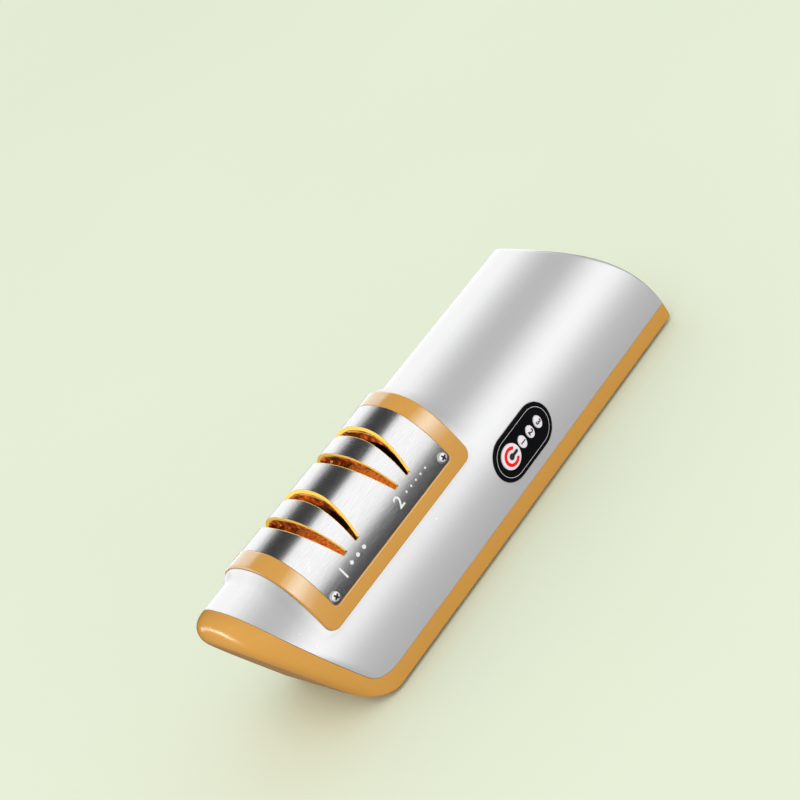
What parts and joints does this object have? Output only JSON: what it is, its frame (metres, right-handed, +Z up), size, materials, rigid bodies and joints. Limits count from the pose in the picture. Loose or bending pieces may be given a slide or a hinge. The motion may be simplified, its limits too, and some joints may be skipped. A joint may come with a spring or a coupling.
{
  "type": "electric knife sharpener",
  "caption": "Arched bench knife sharpener: raked ends, a gold base and saddle frame, slotted steel plate over two grinding wheels, and a flank control panel with push buttons.",
  "frame": {"origin": "under the middle of the whole part, on the surface its rubber feet stand on", "axes": "+X along the body from the sharpening end to the motor's end, -Y out of the front flank with the control panel, +Z up"},
  "size_m": [0.2162, 0.0505, 0.0645],
  "materials": {
    "gold_plastic": "glossy mustard gold",
    "pearl_plastic": "glossy pearl white",
    "steel_sheet": "brushed across the arch",
    "steel_turned": "turned",
    "liner_plastic": "satin pale gold",
    "black_plastic": "fine texture",
    "gloss_black": "glossy black",
    "button_plastic": "satin light grey",
    "coarse_grit": "coarse bonded grit",
    "fine_grit": "fine bonded grit",
    "bronze": "turned bearing bronze",
    "rubber": "matt",
    "circuit_board": "lacquered board",
    "cell_wrap": "shrink wrap"
  },
  "bodies": {
    "housing": {"base_housing": "gold_plastic", "upper_shell": "pearl_plastic", "module_frame": "gold_plastic", "steel_plate": "steel_sheet", "slot_guide": "liner_plastic", "plate_screw_1": "steel_turned", "plate_screw_2": "steel_turned", "plate_screw_3": "steel_turned", "plate_screw_4": "steel_turned", "near_bearing": "bronze", "far_bearing": "bronze", "wheel_chamber": "black_plastic", "motor_can": "steel_turned", "motor_end_cap": "black_plastic", "battery_cell": "cell_wrap", "power_cradle": "black_plastic", "panel_bezel": "gloss_black", "tact_switch_1": "steel_turned", "tact_switch_2": "steel_turned", "tact_switch_3": "steel_turned", "tact_switch_4": "steel_turned", "control_board": "circuit_board", "charge_port": "steel_turned", "charge_board": "circuit_board", "rubber_foot_1": "rubber", "rubber_foot_2": "rubber", "rubber_foot_3": "rubber", "rubber_foot_4": "rubber", "base_screw_1": "steel_turned", "base_screw_2": "steel_turned", "base_screw_3": "steel_turned", "base_screw_4": "steel_turned"},
    "rotor": {"drive_shaft": "steel_turned", "near_sleeve": "steel_turned", "middle_sleeve": "steel_turned", "far_sleeve": "steel_turned", "coarse_wheel_hub": "black_plastic", "coarse_abrasive_ring": "coarse_grit", "fine_wheel_hub": "black_plastic", "fine_abrasive_ring": "fine_grit", "shaft_coupling": "bronze", "motor_shaft": "steel_turned"},
    "power": {"power_button": "button_plastic"},
    "speed_one": {"key_1": "button_plastic"},
    "speed_two": {"key_2": "button_plastic"},
    "speed_three": {"key_3": "button_plastic"}
  },
  "joints": [
    {"name": "rotor_spin", "type": "hinge", "parent": "housing", "child": "rotor", "pos_m": [0, 0, 0.0356], "axis": [1, 0, 0], "continuous": true},
    {"name": "power_press", "type": "slide", "parent": "housing", "child": "power", "axis": [0, 0.9954, -0.096], "range_m": [0, 0.0007], "stiffness_N_per_m": 900},
    {"name": "key_1_press", "type": "slide", "parent": "housing", "child": "speed_one", "axis": [0, 0.9954, -0.096], "range_m": [0, 0.0007], "stiffness_N_per_m": 900},
    {"name": "key_2_press", "type": "slide", "parent": "housing", "child": "speed_two", "axis": [0, 0.9954, -0.096], "range_m": [0, 0.0007], "stiffness_N_per_m": 900},
    {"name": "key_3_press", "type": "slide", "parent": "housing", "child": "speed_three", "axis": [0, 0.9954, -0.096], "range_m": [0, 0.0007], "stiffness_N_per_m": 900}
  ]
}
